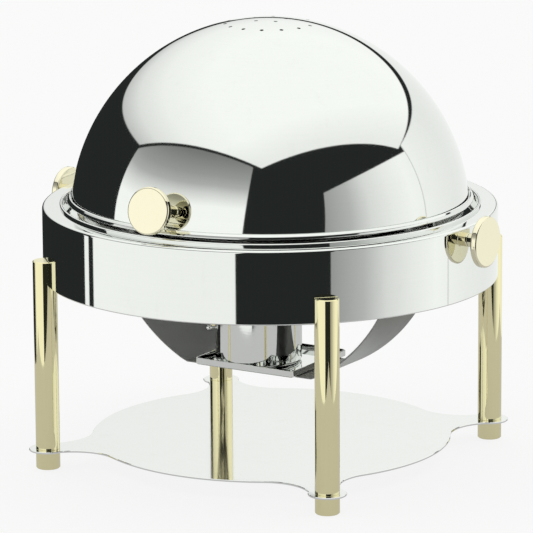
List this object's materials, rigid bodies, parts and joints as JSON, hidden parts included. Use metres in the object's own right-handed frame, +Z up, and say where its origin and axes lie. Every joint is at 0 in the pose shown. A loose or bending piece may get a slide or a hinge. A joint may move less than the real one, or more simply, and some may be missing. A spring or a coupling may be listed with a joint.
{
  "type": "roll top chafer",
  "caption": "Round roll top chafing dish: a domed cover rolls back in a ring body on four legs, over nested pans, a fuel holder on a cradle and a base plate.",
  "frame": {"origin": "on the table, under the centre of the body ring", "axes": "+Z up; -Y towards the front handle; +X towards the right pivot knob, along the turning axis"},
  "size_m": [0.5122, 0.47, 0.4585],
  "materials": {
    "polished_steel": "mirror-polished stainless steel",
    "satin_steel": "satin stainless steel",
    "plain_steel": "plain machined stainless steel",
    "polished_brass": "mirror-polished pale brass",
    "plain_brass": "plain turned brass"
  },
  "bodies": {
    "stand": {"base_plate": "polished_steel", "foot_front_left": "polished_brass", "foot_front_right": "polished_brass", "foot_back_left": "polished_brass", "foot_back_right": "polished_brass", "leg_front_left": "polished_brass", "leg_front_right": "polished_brass", "leg_back_left": "polished_brass", "leg_back_right": "polished_brass", "leg_studs": "plain_steel", "body_ring": "polished_steel", "top_sheet": "polished_steel", "opening_trim": "polished_steel", "ring_screws": "plain_steel", "pivot_stud_left": "plain_steel", "pivot_stud_right": "plain_steel", "pivot_knob_left": "polished_brass", "pivot_knob_right": "polished_brass", "pivot_spacer_left": "plain_steel", "pivot_spacer_right": "plain_steel", "pivot_washer_left": "plain_brass", "pivot_washer_right": "plain_brass", "pivot_nut_left": "plain_steel", "pivot_nut_right": "plain_steel", "pan_carrier": "satin_steel", "cradle_left": "polished_steel", "cradle_right": "polished_steel", "carrier_rivets": "plain_steel", "shelf_rivets": "plain_steel", "burner_shelf": "polished_steel", "water_pan": "satin_steel"},
    "cover": {"cover_dome": "polished_steel", "cover_rim": "polished_steel", "cover_ear_left": "satin_steel", "cover_ear_right": "satin_steel", "ear_studs": "plain_steel", "ear_bush_left": "plain_brass", "ear_bush_right": "plain_brass", "handle_knob": "polished_brass", "handle_screw": "plain_steel"},
    "food_pan": {"food_pan": "satin_steel"},
    "fuel_holder": {"fuel_holder": "polished_steel", "holder_grip": "polished_steel", "lid_pin": "plain_steel"},
    "holder_lid": {"holder_lid": "polished_steel", "lid_grip": "polished_brass"}
  },
  "joints": [
    {"name": "cover_roll", "type": "hinge", "parent": "stand", "child": "cover", "pos_m": [0, 0, 0.2525], "axis": [-1, 0, 0], "range_deg": [0, 155]},
    {"name": "food_pan_lift", "type": "slide", "parent": "stand", "child": "food_pan", "axis": [0, 0, 1], "range_m": [0, 0.07]},
    {"name": "fuel_holder_lift", "type": "slide", "parent": "stand", "child": "fuel_holder", "axis": [0, 0, 1], "range_m": [0, 0.012]},
    {"name": "holder_lid_swing", "type": "hinge", "parent": "fuel_holder", "child": "holder_lid", "pos_m": [-0.01, 0.042, 0.1605], "axis": [0, 0, -1], "range_deg": [0, 105]}
  ]
}
